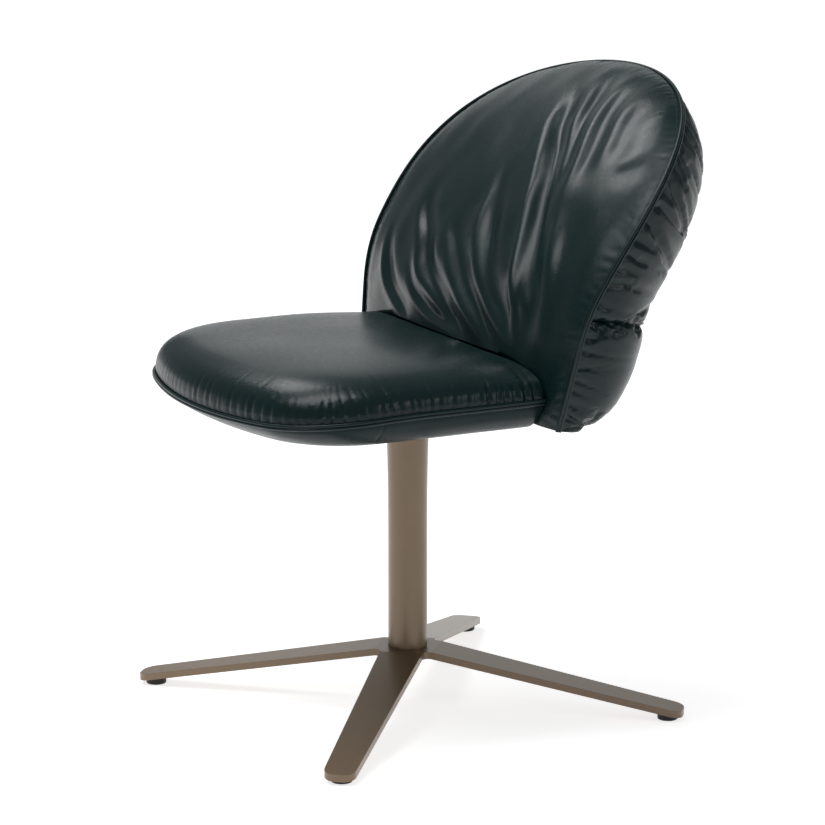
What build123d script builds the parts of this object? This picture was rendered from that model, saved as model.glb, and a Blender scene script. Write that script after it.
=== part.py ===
from build123d import *
import math
import os

os.makedirs("parts", exist_ok=True)

# Leather swivel chair in millimetres. The floor is Z = 0, the column stands on the Z axis,
# the sitter faces -Y and +X is the sitter's left.

# Fits
soft_gap = 0.3
press_gap = 0.03
running_gap = 0.05

# Four-arm star base
base_turn = 49.5
arm_count = 4
arm_tip_r = 358.0
glide_inset = 20.0
arm_root_w = 57.0
arm_tip_w = 39.0
arm_tip_corner_r = 15.0
arm_t = 9.0
hub_top_z = 74.0
hub_flat_r = 37.0
crotch_r = 7.0
glide_d = 26.0
glide_h = 9.0
glide_rim_r = 1.5
stem_d = 8.0
stem_depth = 5.5

# Column, turned with a soft flare under the seat
column_d = 50.0
column_top_d = 57.0
column_wall = 3.0
column_top_z = 396.0
flare_z = 240.0
foot_h = 30.0
base_bolt_d = 12.0
base_bolt_grip = 22.0
base_bolt_head_d = 19.0
base_bolt_head_h = 9.0
base_washer_d = 32.0
base_washer_t = 2.5

# Swivel: a spindle under the seat plate turns in two nylon bushes
spindle_d = 30.0
bush_h = 30.0
bush_flange_t = 3.0
lower_bush_z = 232.0
thrust_washer_t = 2.0
thrust_washer_d = 48.0
thrust_play = 0.1
ring_t = 1.5
ring_depth = 1.2
ring_d = 36.0
ring_split = 5.0
ring_play = 0.4
spindle_tail = 7.0

# Seat
seat_half_w = 241.0
seat_front = 303.0
seat_front_r = 450.0
seat_corner_r = 141.0
seat_rear_y = 60.0
seat_bottom_z = 395.0
seat_welt_z = 432.0
seat_crown = 55.0
band_tuck = 42.0
band_lip = 7.0
board_t = 15.0
cover_t = 1.5
cover_hole_gap = 4.0
welt_r = 3.4
plate_w = 190.0
plate_front = 120.0
plate_rear = 38.0
plate_t = 6.0
plate_corner_r = 18.0
plate_screw_edge = 20.0
collar_d = 50.0

# M8 screws and the tee nuts they go into
screw_d = 8.0
screw_head_d = 14.0
screw_head_h = 4.4
tee_d = 10.0
tee_flange_d = 20.0
tee_flange_t = 1.5

# Back: the welt lies on a sheet that stands upright behind the seat and bows back above the waist
bend_y = 90.0
bend_z = 537.0
lower_lean = 9.0
waist_lean = 14.0
upper_lean = 26.0
upper_r = 647.0
lower_len = 138.0
upper_len = 364.0
back_half_w = 298.0
back_bottom_half_w = 265.0
widest_len = 103.0
front_crown = 32.0
back_depth = 130.0
gusset_bulge = 6.0
taper_power = 1.8
roll_x = 0.62
roll_crown = 0.74
roll_mid_x = 0.86
roll_mid_crown = 0.42
gusset_mid_depth = 0.36
rear_x = 0.8
rear_depth = 0.8
waist_slit = 0.8
shell_t = 12.0
shell_half_w = 235.0
shell_bottom_z = 415.0
shell_top_z = 750.0
shell_top_r = 170.0
zip_w = 10.0
zip_t = 2.5
zip_half_len = 205.0
welt_bend_share = 0.45
fold_depth = 11.0
fold_half_w = 17.0
fold_lip = 3.0
fold_spread = 2.2

# Steel brackets from the seat board up the front of the back shell
bracket_x = 125.0
bracket_w = 40.0
bracket_t = 6.0
bracket_front_y = -75.0
bracket_top_z = 530.0
bracket_bend_r = 10.0
bracket_seat_screw_y = (-55.0, 5.0)
bracket_back_screw_z = (455.0, 505.0)


def turned(points):
    """Solid of revolution about the Z axis from (radius, height) corners."""
    return revolve(Plane.XZ * make_face(Polyline(*points, close=True)), Axis.Z)


def ring(outer_r, inner_r, low_z, high_z):
    """Plain ring on the Z axis."""
    return turned([(inner_r, low_z), (outer_r, low_z), (outer_r, high_z), (inner_r, high_z)])


def tube(path, radius):
    """Round cord along a path of lines and tangent arcs."""
    return sweep(Plane(origin=path @ 0, z_dir=path % 0) * Circle(radius), path=path)


def across(outline, half_width):
    """Prism along X from a closed outline in Y and Z."""
    return extrude(Plane.YZ * make_face(outline), amount=half_width, both=True)


def rod(point, direction, radius, length):
    """Cylinder from a point along a direction."""
    return extrude(Plane(origin=point, z_dir=direction) * Circle(radius), amount=length)


# Star base: four sloping flat arms joined at a flat hub
hub_bottom_z = hub_top_z - arm_t
glide_circle_r = arm_tip_r - glide_inset
arm_fall = (hub_bottom_z - glide_h) / (glide_circle_r - hub_flat_r)
arm_angle = math.atan(arm_fall)
arm_plumb_t = arm_t / math.cos(arm_angle)
top_bend_r = hub_flat_r + (arm_plumb_t - arm_t) / arm_fall


def arm_under_z(radius):
    """Height of an arm's underside at a radius."""
    return hub_bottom_z - (radius - hub_flat_r) * arm_fall


def arm_plan():
    """Tapered arm with a rounded tip, seen from above, pointing along +X."""
    plan = make_face(Polyline(
        (0, -arm_root_w / 2),
        (arm_tip_r, -arm_tip_w / 2),
        (arm_tip_r, arm_tip_w / 2),
        (0, arm_root_w / 2),
        close=True,
    ))
    return fillet(plan.vertices().sort_by(Axis.X)[-2:], arm_tip_corner_r)


def arm():
    """One arm: flat over the hub, then sloping down to its tip."""
    side = Polyline(
        (0, hub_bottom_z),
        (hub_flat_r, hub_bottom_z),
        (arm_tip_r, arm_under_z(arm_tip_r)),
        (arm_tip_r, arm_under_z(arm_tip_r) + arm_plumb_t),
        (top_bend_r, hub_top_z),
        (0, hub_top_z),
        close=True,
    )
    slab = extrude(Plane.XZ * make_face(side), amount=arm_root_w, both=True)
    return slab & extrude(arm_plan(), amount=hub_top_z + arm_t)


def round_arm(index):
    """Turn something from +X to an arm's direction."""
    return Rot(0, 0, base_turn + index * 360 / arm_count)


def is_crotch(edge):
    """True for the upright edges where two arms meet."""
    middle = edge.center()
    return math.hypot(middle.X, middle.Y) < arm_root_w


star = Part() + [round_arm(i) * arm() for i in range(arm_count)]
star = fillet(star.edges().filter_by(Axis.Z).filter_by(is_crotch), crotch_r)
star -= Cylinder(base_bolt_d / 2 + soft_gap, 4 * hub_top_z)
stem_top_z = arm_under_z(glide_circle_r) + stem_depth
stem_hole = Pos(glide_circle_r, 0, stem_top_z / 2) * Cylinder(stem_d / 2, stem_top_z)
star -= [round_arm(i) * stem_hole for i in range(arm_count)]


# Glides: nylon discs whose stems press into the arm tips
def glide():
    """Disc with a slanted top that meets the arm, and a stem."""
    over = Polyline(
        (0, arm_under_z(0)),
        (2 * glide_circle_r, arm_under_z(2 * glide_circle_r)),
        (2 * glide_circle_r, 2 * hub_top_z),
        (0, 2 * hub_top_z),
        close=True,
    )
    above_arm = extrude(Plane.XZ * make_face(over), amount=glide_d, both=True)
    tall = 2 * glide_h
    disc = Cylinder(glide_d / 2, tall, align=(Align.CENTER, Align.CENTER, Align.MIN))
    disc = Pos(glide_circle_r, 0, 0) * fillet(disc.edges().sort_by(Axis.Z)[0], glide_rim_r)
    stem_h = stem_top_z - soft_gap
    stem = Pos(glide_circle_r, 0, stem_h / 2 + glide_h / 4)
    return disc - above_arm + stem * Cylinder(stem_d / 2 - press_gap, stem_h - glide_h / 2)


glides = {f"glide_{i + 1}": round_arm(i) * glide() for i in range(arm_count)}

# Column tube, its foot plug, and the bolt that pulls the plug down on the hub
bore_r = column_d / 2 - column_wall
flare_mid = (column_d / 2 + (column_top_d - column_d) / 8, (flare_z + column_top_z) / 2)
column_edge = Line((bore_r, column_top_z), (bore_r, hub_top_z))
column_edge += Line((bore_r, hub_top_z), (column_d / 2, hub_top_z))
column_edge += Line((column_d / 2, hub_top_z), (column_d / 2, flare_z))
column_edge += ThreePointArc((column_d / 2, flare_z), flare_mid, (column_top_d / 2, column_top_z))
column_edge += Line((column_top_d / 2, column_top_z), (bore_r, column_top_z))
column = revolve(Plane.XZ * make_face(column_edge), Axis.Z)

foot = ring(bore_r - press_gap, base_bolt_d / 2 + press_gap, hub_top_z, hub_top_z + foot_h)
washer_z = hub_bottom_z - base_washer_t
base_washer = ring(base_washer_d / 2, base_bolt_d / 2 + soft_gap, washer_z, hub_bottom_z)
base_bolt = ring(base_bolt_d / 2, 0, washer_z, hub_top_z + base_bolt_grip)
head = Pos(0, 0, washer_z - base_bolt_head_h) * extrude(
    RegularPolygon(base_bolt_head_d / 2, 6), amount=base_bolt_head_h
)
base_bolt += head

# Swivel bushes, thrust washer, spindle and retaining ring
bush_r = bore_r - press_gap
bush_bore_r = spindle_d / 2 + running_gap
lower_bush = ring(bush_r, bush_bore_r, lower_bush_z, lower_bush_z + bush_h)
upper_bush = ring(bush_r, bush_bore_r, column_top_z - bush_h, column_top_z)
flange_z = column_top_z + bush_flange_t
upper_bush += ring(column_top_d / 2, bush_bore_r, column_top_z, flange_z)
washer_top_z = flange_z + thrust_washer_t
thrust_washer = ring(thrust_washer_d / 2, bush_bore_r, flange_z, washer_top_z)

board_z = seat_welt_z - board_t
plate_z = board_z - plate_t
ring_z = lower_bush_z - ring_play - ring_t
groove_r = spindle_d / 2 - ring_depth
spindle = turned([
    (0, ring_z - spindle_tail),
    (spindle_d / 2, ring_z - spindle_tail),
    (spindle_d / 2, ring_z),
    (groove_r, ring_z),
    (groove_r, ring_z + ring_t),
    (spindle_d / 2, ring_z + ring_t),
    (spindle_d / 2, board_z),
    (0, board_z),
])
retaining_ring = ring(ring_d / 2, groove_r + press_gap, ring_z, ring_z + ring_t)
retaining_ring -= Pos(0, -ring_d / 2, ring_z) * Box(ring_split, ring_d, 4 * ring_t)


# Seat outlines: straight sides, round front corners and a bowed front, all parallel to one another
def seat_edge(inset, rear_y, close):
    """Seat outline drawn in from the welt line, open or closed across its rear."""
    half_w = seat_half_w - inset
    corner_x = seat_half_w - seat_corner_r
    front_cy = seat_front_r - seat_front
    corner_y = front_cy - math.sqrt((seat_front_r - seat_corner_r) ** 2 - corner_x**2)
    turn = math.atan2(corner_y - front_cy, corner_x)
    corner_r = seat_corner_r - inset
    corner_mid = (corner_x + corner_r * math.cos(turn / 2), corner_y + corner_r * math.sin(turn / 2))
    blend = (corner_x + corner_r * math.cos(turn), corner_y + corner_r * math.sin(turn))
    side = Line((half_w, rear_y), (half_w, corner_y))
    corner = ThreePointArc((half_w, corner_y), corner_mid, blend)
    front = ThreePointArc(blend, (0, inset - seat_front), (-blend[0], blend[1]))
    edges = [side, corner, front, corner.mirror(Plane.YZ), side.mirror(Plane.YZ)]
    if close:
        edges.append(Line((-half_w, rear_y), (half_w, rear_y)))
    return Wire(edges)


def seat_face(inset, rear_y, height):
    """Closed seat outline as a face at a height."""
    return Pos(0, 0, height) * make_face(seat_edge(inset, rear_y, True))


def seat_slab(inset, rear_y, low_z, high_z):
    """Straight-sided slab of the seat's outline."""
    return extrude(seat_face(inset, rear_y, low_z), amount=high_z - low_z)


# Crowned seat cushion: each step is a share of the crown's height and of the corner radius
cushion_steps = (
    (0, 0.02),
    (0.2, -0.01),
    (0.41, 0.035),
    (0.6, 0.12),
    (0.75, 0.23),
    (0.88, 0.38),
    (0.96, 0.55),
    (1, 0.74),
)
cushion_z = seat_welt_z + soft_gap


def crowned_cushion(grow):
    """Cushion drawn in on all sides as it rises, or the room it takes with a clearance all round."""
    faces = []
    for rise, draw_in in cushion_steps:
        inset = draw_in * seat_corner_r - grow
        height = cushion_z - grow + rise * (seat_crown + 2 * grow)
        faces.append(seat_face(inset, seat_rear_y - inset, height))
    return loft(faces)


seat_cushion = crowned_cushion(0)

# Leather band under the welt, tucked in towards the seat's underside round the board
band_steps = ((0, 0.03), (0.45, 0.24), (1, 1))
board_inset = band_tuck + band_lip
band_h = seat_welt_z - seat_bottom_z
seat_band = loft([
    seat_face(tuck * band_tuck, seat_rear_y, seat_welt_z - drop * band_h) for drop, tuck in band_steps
])
seat_band -= seat_slab(board_inset, seat_rear_y, seat_bottom_z - band_h, seat_welt_z + band_h)

welt_path = Pos(0, 0, seat_welt_z + soft_gap / 2) * seat_edge(0, seat_rear_y, False)
welt_groove = tube(welt_path, welt_r + soft_gap)
seat_welt = tube(welt_path, welt_r)
seat_cushion -= welt_groove
seat_band -= welt_groove

# Plywood seat board, swivel plate and the cloth that closes the underside
inner_inset = board_inset + soft_gap
seat_board = seat_slab(inner_inset, seat_rear_y, board_z, seat_welt_z)
cover_hole_r = column_top_d / 2 + cover_hole_gap
under_cover = seat_slab(inner_inset, seat_rear_y, seat_bottom_z, seat_bottom_z + cover_t)
under_cover -= Cylinder(cover_hole_r, 4 * seat_welt_z)

plate_face = RectangleRounded(plate_w, plate_front + plate_rear, plate_corner_r)
seat_plate = extrude(Pos(0, (plate_rear - plate_front) / 2, plate_z) * plate_face, amount=plate_t)
seat_plate += ring(collar_d / 2, 0, washer_top_z + thrust_play, plate_z)
seat_plate -= Cylinder(spindle_d / 2 + press_gap, 4 * seat_welt_z)

# Back sheet: where the welt lies, measured along the sheet from its bend at the waist
arc_y = bend_y + upper_r * math.cos(math.radians(upper_lean))
arc_z = bend_z - upper_r * math.sin(math.radians(upper_lean))


def sheet_at(run):
    """Y, Z and lean of the sheet at a run along it: below the bend straight, above it an arc."""
    if run <= 0:
        lean = math.radians(lower_lean)
        return bend_y + run * math.sin(lean), bend_z + run * math.cos(lean), lean
    lean = math.radians(upper_lean) + run / upper_r
    return arc_y - upper_r * math.cos(lean), arc_z + upper_r * math.sin(lean), lean


def half_width_at(run):
    """Half the width between the welts: a slow taper below the widest run, an ellipse above it."""
    if run < widest_len:
        share = (widest_len - run) / (widest_len + lower_len)
        return back_half_w - (back_half_w - back_bottom_half_w) * share**taper_power
    share = (run - widest_len) / (upper_len - widest_len)
    return back_half_w * math.sqrt(1 - share**2)


def square_to(y, z, lean):
    """Plane across the sheet at a point, with its own Y rearwards."""
    return Plane(origin=(0, y, z), x_dir=(1, 0, 0), z_dir=(0, math.sin(lean), math.cos(lean)))


def back_section(run, depth, crown):
    """Section square to the sheet: plump front between two rolls, bulging gussets, bowed rear."""
    y, z, lean = sheet_at(run)
    if run == 0:
        lean = math.radians(waist_lean)
    half_w = half_width_at(run)
    welt = (half_w, 0)
    roll = (roll_x * half_w, -roll_crown * crown)
    rear = (rear_x * half_w, rear_depth * depth)
    front_arc = ThreePointArc((-roll[0], roll[1]), (0, -crown), roll)
    roll_arc = ThreePointArc(roll, (roll_mid_x * half_w, -roll_mid_crown * crown), welt)
    gusset_arc = ThreePointArc(welt, (half_w + gusset_bulge, gusset_mid_depth * depth), rear)
    rear_arc = ThreePointArc(rear, (0, depth), (-rear[0], rear[1]))
    far_side = [gusset_arc.mirror(Plane.YZ), roll_arc.mirror(Plane.YZ)]
    return square_to(y, z, lean) * make_face(Wire([front_arc, roll_arc, gusset_arc, rear_arc] + far_side))


# Sections of the stuffed back: run, depth behind the sheet and crown in front of it, as shares
lower_shares = (
    (-1, 0.45, 0.6),
    (-0.94, 0.6, 0.75),
    (-0.84, 0.74, 0.88),
    (-0.64, 0.89, 1),
    (-0.4, 0.98, 1.08),
    (-0.16, 1, 1.12),
)
waist_shares = (0, 0.95, 1.12)
upper_shares = (
    (0.11, 0.65, 1.1),
    (0.24, 0.67, 1.05),
    (0.4, 0.69, 1),
    (0.55, 0.67, 0.95),
    (0.7, 0.65, 0.87),
    (0.82, 0.62, 0.75),
    (0.91, 0.55, 0.58),
    (0.96, 0.44, 0.4),
    (0.993, 0.22, 0.18),
)
back_stations = [(run * lower_len, depth, crown) for run, depth, crown in lower_shares]
back_stations.append(waist_shares)
back_stations += [(run * upper_len, depth, crown) for run, depth, crown in upper_shares]
stuffed_back = loft([
    back_section(run, depth * back_depth, crown * front_crown) for run, depth, crown in back_stations
])


# Welt round the back panel: straight runs between stations, joined by arcs as large as they allow
def bend_radius(before, here, after):
    """Largest handy arc between two runs."""
    run_in = here - before
    run_out = after - here
    half_turn = math.radians(run_in.get_angle(run_out)) / 2
    return welt_bend_share * min(run_in.length, run_out.length) / math.tan(half_turn)


def back_welt_path():
    """Open path up one side, over the top and down the other."""
    one_side = []
    for run, _, _ in back_stations:
        y, z, _ = sheet_at(run)
        one_side.append(Vector(half_width_at(run), y, z))
    y, z, _ = sheet_at(upper_len)
    top = [Vector(0, y, z)]
    points = one_side + top + [Vector(-p.X, p.Y, p.Z) for p in reversed(one_side)]
    radii = [bend_radius(*points[i - 1 : i + 2]) for i in range(1, len(points) - 1)]
    return FilletPolyline(*points, radius=radii)


back_path = back_welt_path()
back_welt = tube(back_path, welt_r)
stuffed_back -= tube(back_path, welt_r + soft_gap)


# Everything in front of the sheet, shifted back by a thickness
def in_front(shift):
    """Prism that reaches from the sheet forwards."""
    low_y, low_z, _ = sheet_at(-2 * lower_len)
    mid_y, mid_z, _ = sheet_at(upper_len / 2)
    top_y, top_z, _ = sheet_at(1.1 * upper_len)
    far_y = -2 * seat_front
    outline = Line((low_y, low_z), (bend_y, bend_z))
    outline += ThreePointArc((bend_y, bend_z), (mid_y, mid_z), (top_y, top_z))
    outline += Polyline((top_y, top_z), (far_y, top_z), (far_y, low_z), (low_y, low_z))
    lean = math.radians(lower_lean)
    return Pos(0, shift * math.cos(lean), -shift * math.sin(lean)) * across(outline, 2 * back_half_w)


def shell_outline(grow):
    """Rounded outline of the moulded shell, seen from the front, as a prism along Y."""
    half_w = shell_half_w + grow
    low_z = shell_bottom_z - grow
    high_z = shell_top_z + grow
    corners = [(-half_w, low_z), (half_w, low_z), (half_w, high_z), (-half_w, high_z)]
    face = make_face(Polyline(*corners, close=True))
    face = fillet(face.vertices().sort_by(Axis.Y)[-2:], shell_top_r + grow)
    return extrude(Plane.XZ * face, amount=2 * seat_front, both=True)


back_shell = (in_front(shell_t) - in_front(0)) & shell_outline(0)
shell_room = in_front(shell_t + soft_gap) & shell_outline(soft_gap)

# Steel brackets: each an L bent up from the seat board to the front of the shell
upright_lean = math.radians(lower_lean)
bracket_plumb_t = bracket_t / math.cos(upright_lean)


def upright_y(height):
    """Y of the sheet's straight lower part at a height."""
    return bend_y + (height - bend_z) * math.tan(upright_lean)


def bracket(x, grow):
    """Bent flat bar, or the room it takes with a clearance all round."""
    outer_z = plate_z - grow
    inner_z = board_z + grow
    top_z = bracket_top_z + grow
    front_y = bracket_front_y - grow
    inner = bracket_plumb_t + grow
    corners = [
        (front_y, inner_z),
        (upright_y(inner_z) - inner, inner_z),
        (upright_y(top_z) - inner, top_z),
        (upright_y(top_z) + grow, top_z),
        (upright_y(outer_z) + grow, outer_z),
        (front_y, outer_z),
    ]
    side = make_face(Polyline(*corners, close=True))
    outer_corner = side.vertices().sort_by_distance((corners[4][0], corners[4][1], 0))[0]
    side = fillet(outer_corner, bracket_bend_r)
    return Pos(x, 0, 0) * extrude(Plane.YZ * side, amount=bracket_w / 2 + grow, both=True)


# Screws and tee nuts, each with the holes that they need in what they join
def screw(head_point, direction, grip):
    """Screw whose head seats at a point, with its shank along a direction."""
    shank = rod(head_point, direction, screw_d / 2, grip)
    return shank + rod(head_point, -Vector(*direction), screw_head_d / 2, screw_head_h)


def tee_nut(face_point, direction, depth):
    """Tee nut with its flange on a board's far face and its barrel back towards the screw."""
    back = -Vector(*direction)
    flange = rod(face_point, direction, tee_flange_d / 2, tee_flange_t)
    barrel = rod(face_point, back, tee_d / 2, depth)
    bore_from = Vector(*face_point) + back * (2 * depth)
    return flange + barrel - rod(bore_from, direction, screw_d / 2 + press_gap, 4 * depth)


up = (0, 0, 1)
plate_screw_x = plate_w / 2 - plate_screw_edge
plate_screw_y = (plate_screw_edge - plate_front, plate_rear - plate_screw_edge)
plate_spots = [(x, y) for x in (-plate_screw_x, plate_screw_x) for y in plate_screw_y]
bracket_spots = [(x, y) for x in (-bracket_x, bracket_x) for y in bracket_seat_screw_y]
tee_seat_z = seat_welt_z - tee_flange_t
tee_depth = board_t - tee_flange_t
screw_grip = plate_t + tee_depth

plate_screws = [screw((x, y, plate_z), up, screw_grip) for x, y in plate_spots]
bracket_seat_screws = [screw((x, y, plate_z), up, screw_grip) for x, y in bracket_spots]
seat_tee_nuts = [tee_nut((x, y, tee_seat_z), up, tee_depth) for x, y in plate_spots + bracket_spots]
for x, y in plate_spots + bracket_spots:
    seat_board -= rod((x, y, board_z - board_t), up, tee_d / 2 + press_gap, 3 * board_t)
    seat_board -= rod((x, y, tee_seat_z), up, tee_flange_d / 2 + soft_gap, board_t)
screw_room = screw_d / 2 + soft_gap
for x, y in plate_spots:
    seat_plate -= rod((x, y, plate_z - plate_t), up, screw_room, 3 * plate_t)

rearward = (0, math.cos(upright_lean), -math.sin(upright_lean))
back_spots = [(x, upright_y(z), z) for x in (-bracket_x, bracket_x) for z in bracket_back_screw_z]


def along_rearward(point, distance):
    """Point moved square to the lower sheet."""
    return Vector(*point) + Vector(*rearward) * distance


brackets = {}
bracket_rooms = []
for name, x in (("back_bracket_right", -bracket_x), ("back_bracket_left", bracket_x)):
    bar = bracket(x, 0)
    for y in bracket_seat_screw_y:
        bar -= rod((x, y, plate_z - plate_t), up, screw_room, 3 * plate_t)
    for spot in back_spots:
        bar -= rod(along_rearward(spot, -2 * bracket_t), rearward, screw_room, 4 * bracket_t)
    brackets[name] = bar
    bracket_rooms.append(bracket(x, soft_gap))

back_screws = [screw(along_rearward(p, -bracket_t), rearward, bracket_t + shell_t) for p in back_spots]
back_tee_nuts = [tee_nut(along_rearward(p, shell_t), rearward, shell_t) for p in back_spots]
head_rooms = []
flange_rooms = []
for spot in back_spots:
    back_shell -= rod(along_rearward(spot, -shell_t), rearward, tee_d / 2 + press_gap, 3 * shell_t)
    head_from = along_rearward(spot, -bracket_t - screw_head_h - soft_gap)
    head_rooms.append(rod(head_from, rearward, screw_head_d / 2 + soft_gap, screw_head_h + bracket_t))
    flange_rooms.append(rod(spot, rearward, tee_flange_d / 2 + soft_gap, shell_t + tee_flange_t + soft_gap))

# Stuffed back divided at the sheet and at the waist, with room for the seat, shell and brackets
seat_room = crowned_cushion(2 * soft_gap)
seat_room += seat_slab(-soft_gap, seat_rear_y + soft_gap, seat_bottom_z - band_h, cushion_z)
front_cushion = (stuffed_back & in_front(-soft_gap)) - seat_room - bracket_rooms - head_rooms
back_stuffing = stuffed_back - in_front(0) - shell_room - flange_rooms

# Main folds of the front panel. Each step is a share of the back's half width, of its upper length
# and of the deepest fold
panel_folds = (
    (
        (-0.14, 0.86, 0), (0.01, 0.71, 0.5), (0.09, 0.62, 0.8), (0.21, 0.51, 1), (0.38, 0.32, 1),
        (0.56, 0.1, 0.9), (0.64, 0, 0.8), (0.66, -0.1, 0.7), (0.67, -0.22, 0),
    ),
    (
        (-0.03, 0.41, 0), (0.03, 0.3, 0.5), (0.12, 0.19, 0.55), (0.21, 0.1, 0.55), (0.36, 0.01, 0.5),
        (0.5, -0.08, 0),
    ),
    (
        (-0.17, 0.19, 0), (-0.03, 0.09, 0.5), (0.13, 0, 0.5), (0.28, -0.08, 0.4), (0.38, -0.15, 0),
    ),
    (
        (-0.32, 0.09, 0), (-0.2, 0, 0.5), (-0.07, -0.06, 0.5), (0.13, -0.13, 0.3), (0.25, -0.18, 0),
    ),
    (
        (0.05, 0.87, 0), (0.16, 0.75, 0.45), (0.24, 0.63, 0.5), (0.32, 0.54, 0.45), (0.4, 0.45, 0),
    ),
    (
        (0.27, 0.86, 0), (0.31, 0.75, 0.4), (0.38, 0.65, 0.4), (0.44, 0.57, 0.3), (0.5, 0.47, 0),
    ),
    (
        (0.54, 0.42, 0), (0.62, 0.3, 0.4), (0.69, 0.2, 0.45), (0.76, 0.08, 0.45), (0.8, 0, 0.4),
        (0.8, -0.16, 0),
    ),
)


def crown_at(run):
    """Crown of the front panel at a run, between the stations on each side of it."""
    for (low, _, low_crown), (high, _, high_crown) in zip(back_stations, back_stations[1:]):
        if low <= run <= high:
            return front_crown * (low_crown + (high_crown - low_crown) * (run - low) / (high - low))


def front_height(x, run):
    """How far the front panel stands in front of the sheet."""
    crown = crown_at(run)
    share = abs(x) / half_width_at(run)
    if share > roll_mid_x:
        return crown * roll_mid_crown * (1 - share) / (1 - roll_mid_x)
    if share > roll_x:
        drop = (roll_crown - roll_mid_crown) * (share - roll_x) / (roll_mid_x - roll_x)
        return crown * (roll_crown - drop)
    sagitta = (1 - roll_crown) * crown
    arc_r = ((roll_x * half_width_at(run)) ** 2 + sagitta**2) / (2 * sagitta)
    return crown - arc_r + math.sqrt(arc_r**2 - x**2)


def fold_cutter(steps):
    """Trough that cuts one fold: its sections stand square to the sheet and rise clear at both ends."""
    places = [(across * back_half_w, run * upper_len, depth) for across, run, depth in steps]
    faces = []
    for i, (x, run, depth) in enumerate(places):
        before = places[max(i - 1, 0)]
        after = places[min(i + 1, len(places) - 1)]
        slant = math.hypot(after[0] - before[0], after[1] - before[1]) / abs(after[1] - before[1])
        reach = fold_half_w * min(slant, fold_spread) * (1 + depth) / 2
        left = (x - reach, -front_height(x - reach, run) - fold_lip)
        bottom = (x, depth * (fold_depth + fold_lip / 3) - front_height(x, run) - fold_lip / 3)
        right = (x + reach, -front_height(x + reach, run) - fold_lip)
        trough = Wire([ThreePointArc(left, bottom, right), Line(right, left)])
        faces.append(square_to(*sheet_at(run)) * make_face(trough))
    return loft(faces)


front_cushion -= [fold_cutter(steps) for steps in panel_folds]

waist_tilt = square_to(bend_y, bend_z, math.radians(waist_lean))
half_space = 4 * seat_front
above_waist = Pos(0, 0, half_space / 2) * Box(half_space, half_space, half_space)
upper_bolster = back_stuffing & (waist_tilt.offset(waist_slit / 2) * above_waist)
lower_pouch = back_stuffing - (waist_tilt.offset(-waist_slit / 2) * above_waist)

# Zip that closes the cover along the bottom of the front panel
back_zip = square_to(*sheet_at(-lower_len)).offset(-soft_gap) * extrude(
    RectangleRounded(2 * zip_half_len, zip_w, zip_w / 2 - soft_gap), amount=-zip_t
)

nodes = {
    "star_base": star,
    "column_tube": column,
    "column_foot": foot,
    "base_bolt": base_bolt,
    "base_washer": base_washer,
    "lower_bush": lower_bush,
    "upper_bush": upper_bush,
    "thrust_washer": thrust_washer,
    "spindle": spindle,
    "retaining_ring": retaining_ring,
    "seat_plate": seat_plate,
    "plate_screws": Compound(plate_screws),
    "bracket_seat_screws": Compound(bracket_seat_screws),
    "seat_tee_nuts": Compound(seat_tee_nuts),
    "seat_board": seat_board,
    "seat_band": seat_band,
    "seat_cushion": seat_cushion,
    "seat_welt": seat_welt,
    "under_cover": under_cover,
    "back_shell": back_shell,
    "back_screws": Compound(back_screws),
    "back_tee_nuts": Compound(back_tee_nuts),
    "back_front_cushion": front_cushion,
    "back_upper_bolster": upper_bolster,
    "back_lower_pouch": lower_pouch,
    "back_welt": back_welt,
    "back_zip": back_zip,
}
nodes.update(glides)
nodes.update(brackets)

for name, solid in nodes.items():
    export_step(solid, f"parts/{name}.step")
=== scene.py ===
import math

import bmesh
import bpy
import numpy as np
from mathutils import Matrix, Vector
from mathutils.kdtree import KDTree


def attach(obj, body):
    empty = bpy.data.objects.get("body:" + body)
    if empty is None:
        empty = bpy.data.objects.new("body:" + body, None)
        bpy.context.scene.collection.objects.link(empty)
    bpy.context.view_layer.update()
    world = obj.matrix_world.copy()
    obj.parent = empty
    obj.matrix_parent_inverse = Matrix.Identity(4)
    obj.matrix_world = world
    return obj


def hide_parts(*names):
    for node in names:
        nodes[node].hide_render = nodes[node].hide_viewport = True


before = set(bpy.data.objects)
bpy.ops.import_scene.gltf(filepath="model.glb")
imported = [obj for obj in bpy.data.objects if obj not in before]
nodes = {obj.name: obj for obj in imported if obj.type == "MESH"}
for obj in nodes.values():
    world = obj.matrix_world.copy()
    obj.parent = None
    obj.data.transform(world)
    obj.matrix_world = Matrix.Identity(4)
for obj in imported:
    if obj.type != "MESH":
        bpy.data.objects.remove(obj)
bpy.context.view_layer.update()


# Glides: four round discs under the arm tips, moulded in black nylon and pressed into the arms.
# Moulded nylon has a matt skin whose fine speckle breaks up the light.
def linear(code):
    """Linear colour with alpha from an sRGB hex code."""
    shares = [int(code[i : i + 2], 16) / 255 for i in (1, 3, 5)]
    return tuple(s / 12.92 if s <= 0.04045 else ((s + 0.055) / 1.055) ** 2.4 for s in shares) + (1.0,)


def add_node(tree, kind, inputs=None, **settings):
    """Add a node with its settings, and fill its inputs with values or links."""
    node = tree.nodes.new(kind)
    for key, value in settings.items():
        setattr(node, key, value)
    for key, value in (inputs or {}).items():
        if isinstance(value, bpy.types.NodeSocket):
            tree.links.new(value, node.inputs[key])
        else:
            node.inputs[key].default_value = value
    return node


def start_material(name, **constants):
    """New material: itself, its tree, its shader with constant sockets set, and Object coordinates."""
    made = bpy.data.materials.new(name)
    made.use_nodes = True
    tree = made.node_tree
    shader = tree.nodes["Principled BSDF"]
    for socket, value in constants.items():
        shader.inputs[socket.replace("_", " ")].default_value = value
    return made, tree, shader, add_node(tree, "ShaderNodeTexCoord").outputs["Object"]


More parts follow.
